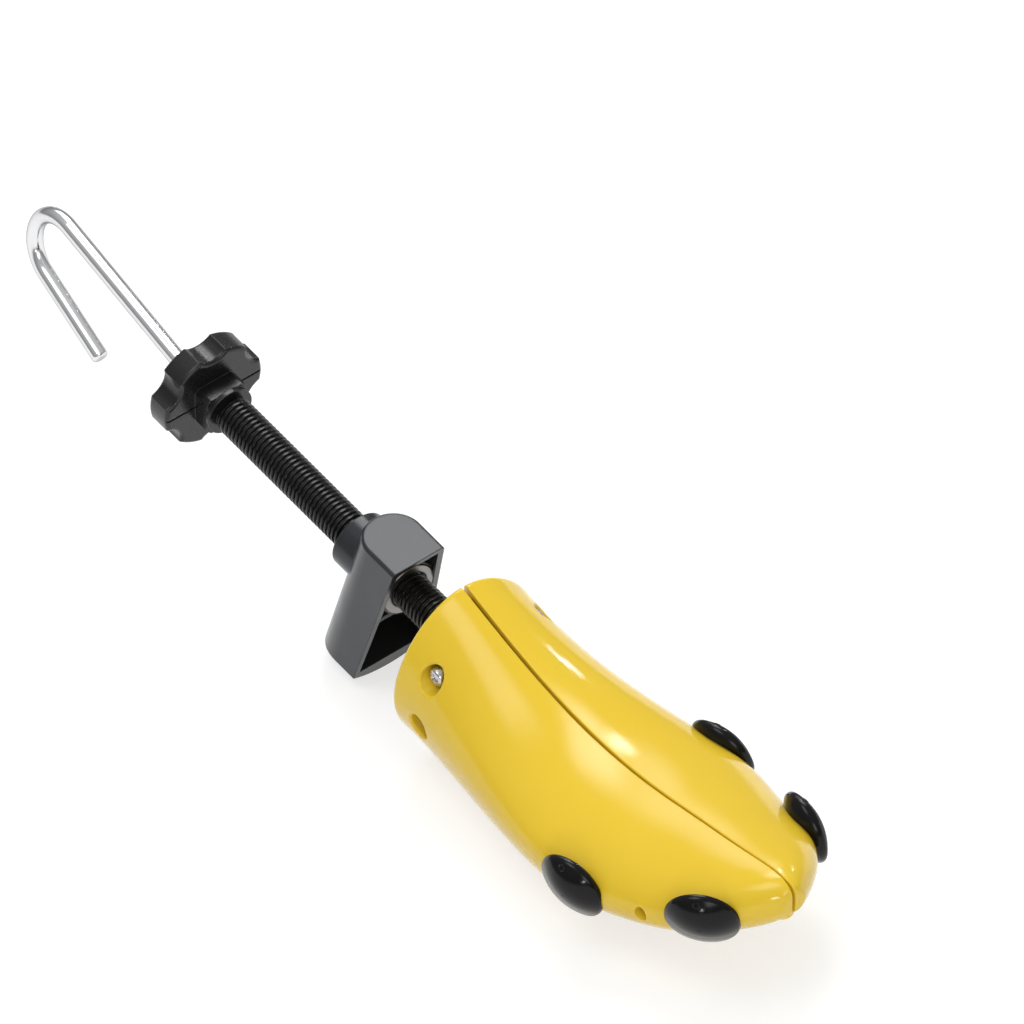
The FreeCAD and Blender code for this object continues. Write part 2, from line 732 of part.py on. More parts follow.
def heel_outline(sketch, front, width, depth):
    """A heel's plan: straight across the front, straight sides, and a round back."""
    half = size(width) / 2
    face, centre = -size(front), size(width) / 2 - size(front) - size(depth)
    spots = ((face, -half), (face, half), (centre, half), (centre, -half))
    corners = [Vector(*spot, 0) for spot in spots]
    sketch.addGeometry(Part.LineSegment(corners[0], corners[1]), False)
    sketch.addGeometry(Part.LineSegment(corners[1], corners[2]), False)
    back = Part.Circle(Vector(centre, 0, 0), Vector(0, 0, 1), half)
    sketch.addGeometry(Part.ArcOfCircle(back, math.pi / 2, 3 * math.pi / 2), False)
    sketch.addGeometry(Part.LineSegment(corners[3], corners[0]), False)
    for first, second in ((0, 1), (1, 2), (2, 3), (3, 0)):
        sketch.addConstraint(Sketcher.Constraint("Coincident", first, 2, second, 1))
    hold(sketch, "DistanceX", (-1, 1, 0, 1), "- ( %s )" % front)
    hold(sketch, "DistanceY", (-1, 1, 0, 1), "- ( %s ) / 2" % width)
    hold(sketch, "DistanceX", (-1, 1, 0, 2), "- ( %s )" % front)
    hold(sketch, "DistanceY", (-1, 1, 0, 2), "( %s ) / 2" % width)
    hold(sketch, "DistanceX", (-1, 1, 2, 3), "( %s ) / 2 - ( %s ) - ( %s )" % (width, front, depth))
    hold(sketch, "DistanceY", (-1, 1, 2, 3), "0")
    sketch.addConstraint(Sketcher.Constraint("Horizontal", 1))
    sketch.addConstraint(Sketcher.Constraint("Vertical", 2, 1, 2, 3))
    sketch.addConstraint(Sketcher.Constraint("Vertical", 2, 2, 2, 3))


def heel_edge(sketch):
    """What is cut away under the heel's sagging lower edge."""
    wide, low = size("heel_bottom_width / 2"), -size("heel_bottom")
    high, under = low + size("heel_sag"), low - size("heel_sag")
    radius = (wide ** 2 + size("heel_sag") ** 2) / (2 * size("heel_sag"))
    reach = math.asin(wide / radius)
    arch = Part.Circle(Vector(0, low + radius, 0), Vector(0, 0, 1), radius)
    sketch.addGeometry(Part.ArcOfCircle(arch, 1.5 * math.pi - reach, 1.5 * math.pi + reach), False)
    spots = ((wide, high), (wide, under), (-wide, under), (-wide, high))
    corners = [Vector(*spot, 0) for spot in spots]
    for first, second in zip(corners, corners[1:]):
        sketch.addGeometry(Part.LineSegment(first, second), False)
    for first, second in ((0, 1), (1, 2), (2, 3), (3, 0)):
        sketch.addConstraint(Sketcher.Constraint("Coincident", first, 2, second, 1))
    hold(sketch, "DistanceX", (-1, 1, 1, 1), "heel_bottom_width / 2")
    hold(sketch, "DistanceY", (-1, 1, 1, 1), "heel_sag - heel_bottom")
    hold(sketch, "DistanceX", (-1, 1, 2, 1), "heel_bottom_width / 2")
    hold(sketch, "DistanceY", (-1, 1, 2, 1), "- heel_bottom - heel_sag")
    hold(sketch, "DistanceX", (-1, 1, 3, 1), "- heel_bottom_width / 2")
    hold(sketch, "DistanceY", (-1, 1, 3, 1), "- heel_bottom - heel_sag")
    hold(sketch, "DistanceX", (-1, 1, 3, 2), "- heel_bottom_width / 2")
    hold(sketch, "DistanceY", (-1, 1, 3, 2), "heel_sag - heel_bottom")
    hold(sketch, "Radius", (0,), "( heel_bottom_width ^ 2 / 4 + heel_sag ^ 2 ) / ( 2 * heel_sag )")


def heel_rib_corners():
    """The shelf under the boss, from the back wall to just inside the front edge."""
    share = "( heel_top + heel_boss_diameter / 2 ) / ( heel_top + heel_bottom )"
    front = "( - heel_top_front - ( heel_bottom_front - heel_top_front ) * %s )" % share
    depth = "( heel_top_depth + ( heel_bottom_depth - heel_top_depth ) * %s )" % share
    half = "( heel_top_width / 2 + ( heel_bottom_width - heel_top_width ) / 2 * %s - heel_wall / 2 )" % share
    near, far = front + " - heel_rib_inset", "( %s - %s + %s )" % (front, depth, half)
    return [(near, "- " + half), (near, half), (far, half), (far, "- " + half)]


def round_crown(body, form):
    """Round the heel's top edge along its sides and back."""
    top = size("heel_top")
    crown = [
        "Edge%d" % number
        for number, edge in enumerate(form.Shape.Edges, start=1)
        if edge.BoundBox.ZMin > top - 0.01 and edge.BoundBox.XLength > 0.01
    ]
    rounded = body.newObject("PartDesign::Fillet", "heel_crown")
    rounded.Base = (form, crown)
    rounded.setExpression("Radius", bind("heel_crown_round"))
    body.Tip = rounded
    doc.recompute()


def heel_cup():
    """A heel cup: narrow at the top, wide at the bottom, hollow and open towards the toe."""
    body = new_body("heel_cup")
    outer, inner = [], []
    levels = (("top", "heel_top", "- heel_wall"), ("bottom", "- heel_bottom", "+ heel_sag + heel_wall"))
    for word, level, inward in levels:
        front, width = "heel_%s_front" % word, "heel_%s_width" % word
        depth = "heel_%s_depth" % word
        outline = new_sketch(body, "XY_Plane", "heel_%s_outline" % word, level)
        heel_outline(outline, front, width, depth)
        outer.append(outline)
        hollow = new_sketch(body, "XY_Plane", "heel_%s_hollow" % word, level + " " + inward)
        heel_outline(hollow, front + " - heel_wall", width + " - 2 * heel_wall", depth)
        inner.append(hollow)
    lofts = (("AdditiveLoft", "heel_form", outer), ("SubtractiveLoft", "heel_hollow", inner))
    for kind, name, pair in lofts:
        loft = body.newObject("PartDesign::" + kind, name)
        loft.Profile = pair[0]
        loft.Sections = [pair[1]]
        loft.Ruled = True
        doc.recompute()
        if name == "heel_form":
            round_crown(body, loft)
    pocket_through(body, "YZ_Plane", "heel_lower_edge", heel_edge)
    rib_level = "- heel_boss_diameter / 2 - heel_rib_thickness"
    padded(body, "XY_Plane", "heel_rib", rib_level, "heel_rib_thickness",
           lambda sketch: polygon(sketch, heel_rib_corners()))
    padded(body, "YZ_Plane", "heel_boss", "- heel_boss_front - heel_boss_length", "heel_boss_length",
           lambda sketch: circle(sketch, "0", "0", "heel_boss_diameter"))
    pocket_through(body, "YZ_Plane", "heel_bore",
                   lambda sketch: circle(sketch, "0", "0", "tube_diameter + 2 * running_clearance"))
    return body


forepart = forepart_solid()
for side, word in ((1, "left"), (-1, "right")):
    plain(word + "_shell", shell_half(side))
    plain(word + "_ramp_plate", ramp_plate(side))
    plain(word + "_plate_screws", screw_pair(side))
for name, (side, *rest) in plugs.items():
    plain(name, plug_shape(name, side))
pin_low, pin_first, pin_second, pin_high = pin_levels()
plain("toe_hinge_pin", upright(size("pin_diameter"), pin_low, pin_high))
plain("hook_rod", hook_shape())
threaded_tube()
rings()
star_knob()
spindle_block()
spreading_wedge()
heel_cup()
doc.recompute()

for item in doc.Objects:
    if "Invalid" in item.State or "Error" in item.State:
        raise RuntimeError("%s did not build: %s" % (item.Name, item.State))


def rest_tilt():
    """The pitch at which the heel's front edge and the sole both touch the floor."""
    low_x, low_z = -size("heel_bottom_front"), -size("heel_bottom")
    slopes = []
    for name in sections:
        reach, half_width, top, sole, widest = station(name)
        slopes.append(math.atan2(sole - low_z, reach - low_x))
    return math.degrees(min(slopes))


def stand():
    """Turn every piece to the resting pitch and set the origin under the middle of the whole."""
    tilt = Rotation(Vector(0, 1, 0), rest_tilt())
    roll = Rotation(Vector(-1, 0, 0), size("hook_roll_angle"))
    box = FreeCAD.BoundBox()
    turns = {}
    for label, piece in pieces.items():
        turns[label] = tilt.multiply(roll) if label == "hook_rod" else tilt
        piece.Placement = Placement(Vector(), turns[label])
        box.add(piece.Shape.optimalBoundingBox(False, False))
    shift = Vector(-box.Center.x, 0, -box.ZMin)
    for label, piece in pieces.items():
        piece.Placement = Placement(shift, turns[label])
    print("rest tilt %.5f, rod at the rear face %.5f %.5f %.5f" % (rest_tilt(), *shift))
    for name, (side, *rest) in holes.items():
        seat, outward = plug_axis(name)
        ends = (seat.x, side * seat.y, seat.z, outward.x, side * outward.y, outward.z)
        print("axis %s %.5f %.5f %.5f %.5f %.5f %.5f" % (name, *ends))


stand()
doc.recompute()
os.makedirs("parts", exist_ok=True)
for label, piece in pieces.items():
    shape = piece.Shape
    if shape.isNull() or not shape.isValid():
        raise RuntimeError(label + " has no valid shape")
for label, piece in pieces.items():
    piece.Shape.exportStep("parts/%s.step" % label)
    print("%s %d solids %.1f mm3" % (label, len(piece.Shape.Solids), piece.Shape.Volume))
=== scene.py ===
import bpy
import bmesh
import json
import math
from mathutils import Matrix, Vector


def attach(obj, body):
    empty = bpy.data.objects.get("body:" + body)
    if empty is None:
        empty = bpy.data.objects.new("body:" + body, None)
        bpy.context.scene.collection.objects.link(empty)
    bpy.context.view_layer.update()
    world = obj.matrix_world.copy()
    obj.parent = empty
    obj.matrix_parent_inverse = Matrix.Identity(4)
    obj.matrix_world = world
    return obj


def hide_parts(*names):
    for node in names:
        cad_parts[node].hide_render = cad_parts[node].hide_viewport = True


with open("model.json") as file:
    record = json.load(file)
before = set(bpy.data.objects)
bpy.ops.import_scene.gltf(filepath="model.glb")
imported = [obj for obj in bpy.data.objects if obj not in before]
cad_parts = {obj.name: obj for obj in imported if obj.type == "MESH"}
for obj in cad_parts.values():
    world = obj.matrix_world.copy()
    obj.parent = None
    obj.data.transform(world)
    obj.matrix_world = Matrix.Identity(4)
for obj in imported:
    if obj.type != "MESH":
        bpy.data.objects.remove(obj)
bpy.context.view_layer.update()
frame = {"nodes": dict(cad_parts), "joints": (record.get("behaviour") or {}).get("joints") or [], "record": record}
nodes = frame["nodes"]
print("frame loaded,", len(nodes), "CAD nodes")

# the rod's own frame: x along the rod to the toe, y left, z up from the rod, in millimetres
metresPerMm = 0.001
knobJointBack = 100.0  # the knob's joint lies this far behind the frame's zero
joints = {j["name"]: j for j in frame["joints"]}
rodWay = Vector(joints["knob_turn"]["axis"])
rodSide = Vector((0, 1, 0))
rodUp = rodWay.cross(rodSide)
rodZero = Vector(joints["knob_turn"]["pos_m"]) + rodWay * (knobJointBack * metresPerMm)
rodTurn = Matrix((rodWay, rodSide, rodUp)).transposed()
rodFrame = Matrix.Translation(rodZero) @ rodTurn.to_4x4() @ Matrix.Scale(metresPerMm, 4)

scene = bpy.context.scene
scene.view_settings.view_transform = "Standard"

cameraLook = {
    "azimuth": 52.62,
    "elevation": 49.03,
    "pixelsPerMm": 2.96,
    "distanceMm": 12000.0,
    "middle": (-10.9, 29.6, 36.2),
    "sensorMm": 36.0,
    "framePixels": 1024,
    "clipEnd": 50.0,
}


def addCamera(look):
    az, el = math.radians(look["azimuth"]), math.radians(look["elevation"])
    right = Vector((math.cos(az), math.sin(az), 0))
    back = Vector((math.sin(az) * math.cos(el), -math.cos(az) * math.cos(el), math.sin(el)))
    up = back.cross(right)
    right, up, back = rodTurn @ right, rodTurn @ up, rodTurn @ back
    data = bpy.data.cameras.new("photoCamera")
    data.sensor_width = look["sensorMm"]
    data.lens = look["sensorMm"] * look["distanceMm"] * look["pixelsPerMm"] / look["framePixels"]
    data.clip_end = look["clipEnd"]
    camera = bpy.data.objects.new("photoCamera", data)
    scene.collection.objects.link(camera)
    spot = rodFrame @ Vector(look["middle"]) + back * look["distanceMm"] * metresPerMm
    camera.matrix_world = Matrix.Translation(spot) @ Matrix((right, up, back)).transposed().to_4x4()
    scene.camera = camera


addCamera(cameraLook)
print("camera set")


# node helpers
def addNode(tree, kind, **settings):
    node = tree.nodes.new(kind)
    for key, value in settings.items():
        setattr(node, key, value)
    return node


def wire(tree, source, target):
    tree.links.new(source, target)


def mathNode(tree, operation, first, second=None, clamp=False):
    node = addNode(tree, "ShaderNodeMath", operation=operation, use_clamp=clamp)
    for socket, value in zip(node.inputs, (first, second)):
        if value is None:
            continue
        if isinstance(value, (int, float)):
            socket.default_value = value
        else:
            wire(tree, value, socket)
    return node.outputs[0]


def startGroup(name, inputs, outputs):
    tree = bpy.data.node_groups.new(name, "ShaderNodeTree")
    for label, kind, value in inputs:
        socket = tree.interface.new_socket(name=label, in_out="INPUT", socket_type=kind)
        socket.default_value = value
    for label, kind in outputs:
        tree.interface.new_socket(name=label, in_out="OUTPUT", socket_type=kind)
    return tree, addNode(tree, "NodeGroupInput"), addNode(tree, "NodeGroupOutput")


def noiseNode(tree, where, scale, detail=2.0, rough=0.5):
    node = addNode(tree, "ShaderNodeTexNoise")
    wire(tree, where, node.inputs["Vector"])
    if isinstance(scale, (int, float)):
        node.inputs["Scale"].default_value = scale
    else:
        wire(tree, scale, node.inputs["Scale"])
    node.inputs["Detail"].default_value = detail
    node.inputs["Roughness"].default_value = rough
    return node.outputs["Fac"]


def rampNode(tree, value, low, high):
    node = addNode(tree, "ShaderNodeMapRange", interpolation_type="SMOOTHSTEP")
    wire(tree, value, node.inputs["Value"])
    node.inputs["From Min"].default_value = low
    node.inputs["From Max"].default_value = high
    return node.outputs["Result"]


def mixColour(tree, share, first, second):
    mix = addNode(tree, "ShaderNodeMix", data_type="RGBA")
    wire(tree, share, mix.inputs["Factor"])
    wire(tree, first, mix.inputs["A"])
    if isinstance(second, tuple):
        mix.inputs["B"].default_value = (*second, 1)
    else:
        wire(tree, second, mix.inputs["B"])
    return mix.outputs["Result"]


# moulded plastic skin: a slow sink-mark ripple under a fine grain
def makeMouldedSkin():
    tree, start, end = startGroup(
        "mouldedSkin",
        [("Grain Scale", "NodeSocketFloat", 2600.0), ("Ripple Scale", "NodeSocketFloat", 60.0),
         ("Ripple Share", "NodeSocketFloat", 0.6)],
        [("Height", "NodeSocketFloat")])
    where = addNode(tree, "ShaderNodeTexCoord").outputs["Object"]
    grain = noiseNode(tree, where, start.outputs["Grain Scale"], 1.0)
    ripple = noiseNode(tree, where, start.outputs["Ripple Scale"], 1.0)
    part = mathNode(tree, "MULTIPLY", ripple, start.outputs["Ripple Share"])
    wire(tree, mathNode(tree, "ADD", grain, part), end.inputs["Height"])
    return tree


# slow drift between two tones of one colour, with a few fine specks of the second
driftLook = {"driftRange": (0.3, 0.75), "driftShare": 0.7, "speckRange": (0.74, 0.8)}


def makeToneDrift(look):
    tree, start, end = startGroup(
        "toneDrift",
        [("Tone", "NodeSocketColor", (0.5, 0.5, 0.5, 1)),
         ("Second Tone", "NodeSocketColor", (0.4, 0.4, 0.4, 1)),
         ("Scale", "NodeSocketFloat", 30.0), ("Speck Scale", "NodeSocketFloat", 900.0)],
        [("Colour", "NodeSocketColor")])
    where = addNode(tree, "ShaderNodeTexCoord").outputs["Object"]
    drift = rampNode(tree, noiseNode(tree, where, start.outputs["Scale"], 3.0), *look["driftRange"])
    specks = rampNode(tree, noiseNode(tree, where, start.outputs["Speck Scale"], 1.0), *look["speckRange"])
    share = mathNode(tree, "ADD", mathNode(tree, "MULTIPLY", drift, look["driftShare"]), specks, clamp=True)
    mixed = mixColour(tree, share, start.outputs["Tone"], start.outputs["Second Tone"])
    wire(tree, mixed, end.inputs["Colour"])
    return tree


# handling marks: short hairline scratches in two directions, thinned out by patches
marksLook = {
    "turns": ((0.3, 0.2, 0.6), (0.7, -0.4, -0.5)),
    "stretches": ((1.0, 0.06, 0.06), (0.06, 1.0, 0.06)),
    "lineRange": (0.66, 0.74),
    "patchRange": (0.5, 0.7),
}


def makeHandlingMarks(look):
    tree, start, end = startGroup(
        "handlingMarks",
        [("Scale", "NodeSocketFloat", 700.0), ("Patch Scale", "NodeSocketFloat", 45.0)],
        [("Marks", "NodeSocketFloat")])
    where = addNode(tree, "ShaderNodeTexCoord").outputs["Object"]
    layers = []
    for turn, stretch in zip(look["turns"], look["stretches"]):
        mapping = addNode(tree, "ShaderNodeMapping")
        mapping.inputs["Rotation"].default_value = turn
        mapping.inputs["Scale"].default_value = stretch
        wire(tree, where, mapping.inputs["Vector"])
        lines = noiseNode(tree, mapping.outputs["Vector"], start.outputs["Scale"], 2.0, 0.6)
        layers.append(rampNode(tree, lines, *look["lineRange"]))
    patch = rampNode(tree, noiseNode(tree, where, start.outputs["Patch Scale"], 2.0), *look["patchRange"])
    both = mathNode(tree, "MAXIMUM", layers[0], layers[1])
    wire(tree, mathNode(tree, "MULTIPLY", both, patch), end.inputs["Marks"])
    return tree


# rubbed edges: where the rounded normal leaves the face's own normal
rubLook = {"bevelSamples": 6, "edgeRange": (0.01, 0.22), "breakRange": (0.35, 0.62)}


def makeEdgeRub(look):
    tree, start, end = startGroup(
        "edgeRub",
        [("Width", "NodeSocketFloat", 0.0006), ("Break Scale", "NodeSocketFloat", 500.0)],
        [("Rub", "NodeSocketFloat"), ("Soft Normal", "NodeSocketVector")])
    bevel = addNode(tree, "ShaderNodeBevel", samples=look["bevelSamples"])
    wire(tree, start.outputs["Width"], bevel.inputs["Radius"])
    face = addNode(tree, "ShaderNodeNewGeometry")
    dot = addNode(tree, "ShaderNodeVectorMath", operation="DOT_PRODUCT")
    wire(tree, bevel.outputs["Normal"], dot.inputs[0])
    wire(tree, face.outputs["Normal"], dot.inputs[1])
    edge = rampNode(tree, mathNode(tree, "SUBTRACT", 1.0, dot.outputs["Value"]), *look["edgeRange"])
    where = addNode(tree, "ShaderNodeTexCoord").outputs["Object"]
    broken = rampNode(tree, noiseNode(tree, where, start.outputs["Break Scale"], 3.0), *look["breakRange"])
    wire(tree, mathNode(tree, "MULTIPLY", edge, broken), end.inputs["Rub"])
    wire(tree, bevel.outputs["Normal"], end.inputs["Soft Normal"])
    return tree


# fuller dome: height falls away from a plug's own axis, so the shading rounds more than the lens does
def makeDomeCurve():
    tree, start, end = startGroup(
        "domeCurve",
        [("Crown", "NodeSocketVector", (0, 0, 0)), ("Way", "NodeSocketVector", (0, 0, 1)),
         ("Curve", "NodeSocketFloat", 30.0)],
        [("Height", "NodeSocketFloat")])
    where = addNode(tree, "ShaderNodeTexCoord").outputs["Object"]
    away = addNode(tree, "ShaderNodeVectorMath", operation="SUBTRACT")
    wire(tree, where, away.inputs[0])
    wire(tree, start.outputs["Crown"], away.inputs[1])
    aside = addNode(tree, "ShaderNodeVectorMath", operation="CROSS_PRODUCT")
    wire(tree, away.outputs["Vector"], aside.inputs[0])
    wire(tree, start.outputs["Way"], aside.inputs[1])
    square = addNode(tree, "ShaderNodeVectorMath", operation="DOT_PRODUCT")
    wire(tree, aside.outputs["Vector"], square.inputs[0])
    wire(tree, aside.outputs["Vector"], square.inputs[1])
    fall = mathNode(tree, "MULTIPLY", square.outputs["Value"], start.outputs["Curve"])
    wire(tree, mathNode(tree, "MULTIPLY", fall, -0.5), end.inputs["Height"])
    return tree


skinGroup = makeMouldedSkin()
toneGroup = makeToneDrift(driftLook)
marksGroup = makeHandlingMarks(marksLook)
rubGroup = makeEdgeRub(rubLook)
domeGroup = makeDomeCurve()
print("shader groups ready")


def placeGroup(tree, group, **values):
    node = addNode(tree, "ShaderNodeGroup", node_tree=group)
    for key, value in values.items():
        node.inputs[key.replace("_", " ")].default_value = value
    return node.outputs


# one builder for every finish: tone, marks, rubbed edges, grain and roughness come from the groups
def makeFinish(name, look, dome=None):
    material = bpy.data.materials.new(name)
    material.use_nodes = True
    tree = material.node_tree
    shader = tree.nodes["Principled BSDF"]
    tone = placeGroup(tree, toneGroup, Tone=(*look["tone"], 1), Second_Tone=(*look["secondTone"], 1),
                      Scale=look["driftScale"], Speck_Scale=look["speckScale"])
    marks = placeGroup(tree, marksGroup, Scale=look["markScale"])["Marks"]
    skin = placeGroup(tree, skinGroup, Grain_Scale=look["grainScale"], Ripple_Scale=look["rippleScale"],
                      Ripple_Share=look["rippleShare"])["Height"]
    colour = tone["Colour"]
    bump = addNode(tree, "ShaderNodeBump")
    if look["rubAmount"] > 0:
        rub = placeGroup(tree, rubGroup, Width=look["edgeWidth"])
        rubShare = mathNode(tree, "MULTIPLY", rub["Rub"], look["rubAmount"])
        colour = mixColour(tree, rubShare, colour, look["rubTone"])
        wire(tree, rub["Soft Normal"], bump.inputs["Normal"])
    if dome:
        curve = placeGroup(tree, domeGroup, Crown=dome[0], Way=dome[1], Curve=look["domeCurve"])
        fuller = addNode(tree, "ShaderNodeBump")
        fuller.inputs["Strength"].default_value = 1.0
        fuller.inputs["Distance"].default_value = 1.0
        wire(tree, curve["Height"], fuller.inputs["Height"])
        wire(tree, fuller.outputs["Normal"], bump.inputs["Normal"])
    markShare = mathNode(tree, "MULTIPLY", marks, look["markAmount"])
    colour = mixColour(tree, markShare, colour, look["markTone"])
    wire(tree, colour, shader.inputs["Base Color"])
    rough = addNode(tree, "ShaderNodeMapRange")
    wire(tree, skin, rough.inputs["Value"])
    rough.inputs["To Min"].default_value = look["roughness"][0]
    rough.inputs["To Max"].default_value = look["roughness"][1]
    worn = mathNode(tree, "MULTIPLY_ADD", marks, look["markRoughness"])
    wire(tree, rough.outputs["Result"], worn.node.inputs[2])
    wire(tree, worn, shader.inputs["Roughness"])
    bump.inputs["Strength"].default_value = look["bump"]
    bump.inputs["Distance"].default_value = look["bumpDepth"]
    wire(tree, skin, bump.inputs["Height"])
    wire(tree, bump.outputs["Normal"], shader.inputs["Normal"])
    shader.inputs["Metallic"].default_value = look["metallic"]
    shader.inputs["IOR"].default_value = look["ior"]
    shader.inputs["Specular IOR Level"].default_value = look["specular"]
    # a Specular Tint below white greys the reflection at grazing angles: painted shade where a finish sets it
    shader.inputs["Specular Tint"].default_value = (look["grazingTint"],) * 3 + (1,)
    return material


def finishLook(**values):
    look = {"driftScale": 25.0, "speckScale": 900.0, "markScale": 600.0, "markAmount": 0.25,
            "markRoughness": 0.12, "metallic": 0.0, "ior": 1.5, "edgeWidth": 0.0005, "rubAmount": 0.3,
            "grainScale": 2600.0, "rippleScale": 45.0, "rippleShare": 0.6, "bump": 0.08, "bumpDepth": 0.0004,
            "specular": 0.5, "grazingTint": 1.0}
    look.update(values)
    return look


yellowLook = finishLook(
    tone=(0.79, 0.545, 0.034), secondTone=(0.765, 0.52, 0.030), driftScale=18.0, roughness=(0.055, 0.11),
    rubAmount=0.0, markTone=(0.85, 0.63, 0.12), markAmount=0.10, markRoughness=0.08, bump=0.05,
    specular=0.34)
plugLook = finishLook(
    tone=(0.0045, 0.0045, 0.005), secondTone=(0.007, 0.007, 0.008), roughness=(0.07, 0.15),
    rubAmount=0.0, markTone=(0.03, 0.03, 0.033), markAmount=0.15, bump=0.04, specular=0.21, domeCurve=32.0)
heelLook = finishLook(
    tone=(0.024, 0.026, 0.032), secondTone=(0.019, 0.021, 0.026), roughness=(0.14, 0.22),
    rubTone=(0.12, 0.123, 0.13), rubAmount=0.5, markTone=(0.1, 0.103, 0.107), rippleScale=38.0,
    rippleShare=14.0, bump=0.09, specular=0.32)
knobLook = finishLook(
    tone=(0.006, 0.006, 0.007), secondTone=(0.010, 0.010, 0.011), roughness=(0.17, 0.28),
    rubTone=(0.05, 0.05, 0.053), rubAmount=0.5, markTone=(0.05, 0.05, 0.055), bump=0.1, specular=0.42)
threadLook = finishLook(
    tone=(0.004, 0.004, 0.0045), secondTone=(0.007, 0.007, 0.0075), roughness=(0.13, 0.22),
    rubTone=(0.03, 0.03, 0.032), rubAmount=0.2, edgeWidth=0.0002, markTone=(0.03, 0.03, 0.033), bump=0.06,
    specular=0.3)
# chrome: a grazing tint of 0.4 greys the reflection towards both edges of the rod, painted shade that draws a grey
# line along them
chromeLook = finishLook(
    tone=(0.80, 0.80, 0.81), secondTone=(0.75, 0.755, 0.765), roughness=(0.11, 0.18), metallic=1.0,
    rubAmount=0.0, markTone=(0.6, 0.6, 0.62), markRoughness=0.2, bump=0.02, grazingTint=0.4)
steelLook = finishLook(
    tone=(0.56, 0.56, 0.57), secondTone=(0.46, 0.46, 0.47), roughness=(0.16, 0.3), metallic=1.0,
    rubTone=(0.75, 0.75, 0.76), markTone=(0.4, 0.4, 0.41), markScale=1200.0, edgeWidth=0.0002, bump=0.05)
dullSteelLook = finishLook(
    tone=(0.29, 0.29, 0.30), secondTone=(0.24, 0.24, 0.25), roughness=(0.2, 0.34), metallic=1.0,
    rubTone=(0.45, 0.45, 0.46), markTone=(0.22, 0.22, 0.23), markScale=1200.0, edgeWidth=0.0002, bump=0.05)
plateLook = finishLook(
    tone=(0.045, 0.045, 0.05), secondTone=(0.06, 0.06, 0.065), roughness=(0.38, 0.55),
    rubTone=(0.12, 0.12, 0.125), rubAmount=0.5, markTone=(0.13, 0.13, 0.135), bump=0.12)
mechanismLook = finishLook(
    tone=(0.095, 0.095, 0.105), secondTone=(0.08, 0.08, 0.09), roughness=(0.34, 0.5),
    rubTone=(0.2, 0.2, 0.21), rubAmount=0.6, markTone=(0.2, 0.2, 0.21), bump=0.12)
finishes = {
    "yellow_shell": makeFinish("yellowMoulding", yellowLook),
    "black_plug": makeFinish("glossyBlackPlug", plugLook),
    "grey_heel": makeFinish("darkGreyHeel", heelLook),
    "black_knob": makeFinish("satinBlackKnob", knobLook),
    "black_screw": makeFinish("satinBlackThread", threadLook),
    "chrome_rod": makeFinish("brightChrome", chromeLook),
    "bright_steel": makeFinish("brightSteel", dullSteelLook),
    "plate_screws": makeFinish("screwSteel", steelLook),
    "ramp_plate": makeFinish("rampPlastic", plateLook),
    "mechanism_steel": makeFinish("wedgePlastic", mechanismLook),
}


# the outermost point of a plug's dome and the way that the plug pulls
def plugCrown(name):
    node = nodes[name]
    way = Vector(joints[name + "_pull"]["axis"]).normalized()
    spots = (node.matrix_world @ v.co for v in node.data.vertices)
    return max(spots, key=lambda spot: spot.dot(way)), way


slotOf = {part["node"]: part["material_slot"] for part in frame["record"]["subparts"]}
for name, node in nodes.items():
    finish = finishes[slotOf[name]]
    if slotOf[name] == "black_plug":
        crown, pull = plugCrown(name)
        inside = node.matrix_world.inverted()
        finish = makeFinish("glossyBlackDome", plugLook, (inside @ crown, inside.to_3x3() @ pull))
    node.data.materials.clear()
    node.data.materials.append(finish)
print("finishes on all CAD nodes")


def easeIn(value):
    value = min(1.0, max(0.0, value))
    return value * value * (3 - 2 * value)


def ringAngles(count):
    return [2 * math.pi * k / count for k in range(count)]


# quads between neighbouring rings of points; a closed run also joins the last ring to the first
def ringFaces(ringCount, around, first=0, closed=True):
    faces = []
    for i in range(ringCount if closed else ringCount - 1):
        near = first + i * around
        far = first + (i + 1) % ringCount * around
        for k in range(around):
            m = (k + 1) % around
            faces.append((near + k, near + m, far + m, far + k))
    return faces


mergeDistance = 1e-7


# a new piece from points in the rod's frame
def addPiece(name, points, faces, body, slot, sharpAngle=35.0):
    mesh = bpy.data.meshes.new(name)
    mesh.from_pydata([rodFrame @ Vector(p) for p in points], [], faces)
    tidy = bmesh.new()
    tidy.from_mesh(mesh)
    bmesh.ops.remove_doubles(tidy, verts=tidy.verts, dist=mergeDistance)
    bmesh.ops.recalc_face_normals(tidy, faces=tidy.faces)
    tidy.to_mesh(mesh)
    tidy.free()
    mesh.shade_smooth()
    mesh.set_sharp_from_angle(angle=math.radians(sharpAngle))
    piece = bpy.data.objects.new(name, mesh)
    scene.collection.objects.link(piece)
    mesh.materials.append(finishes[slot])
    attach(piece, body)
    return piece


# length screw: one turned form whose middle carries a real helix
tubeLook = {
    "pitch": 2.0,
    "crest": 7.0,
    "root": 6.1,
    "crestShare": 0.34,
    "flankShare": 0.2,
    "rear": -130.0,
    "front": 5.7,
    "neckRadius": 5.0,
    "neckEnd": 17.85,
    "groove": (15.1, 16.1, 4.2),
    "spigotEnd": -147.0,
    "bore": 3.05,
    "aroundCount": 64,
    "perPitch": 12,
    "sharpAngle": 50.0,
}


def threadRadius(look, x, angle):
    phase = (x / look["pitch"] - angle / (2 * math.pi)) % 1.0
    off = abs(phase - 0.5)
    inner = look["crestShare"] / 2
    share = easeIn(1 - (off - inner) / look["flankShare"])
    ends = min(x - look["rear"], look["front"] - x) / look["pitch"]
    share *= min(1.0, max(0.0, ends))
    return look["root"] + (look["crest"] - look["root"]) * share


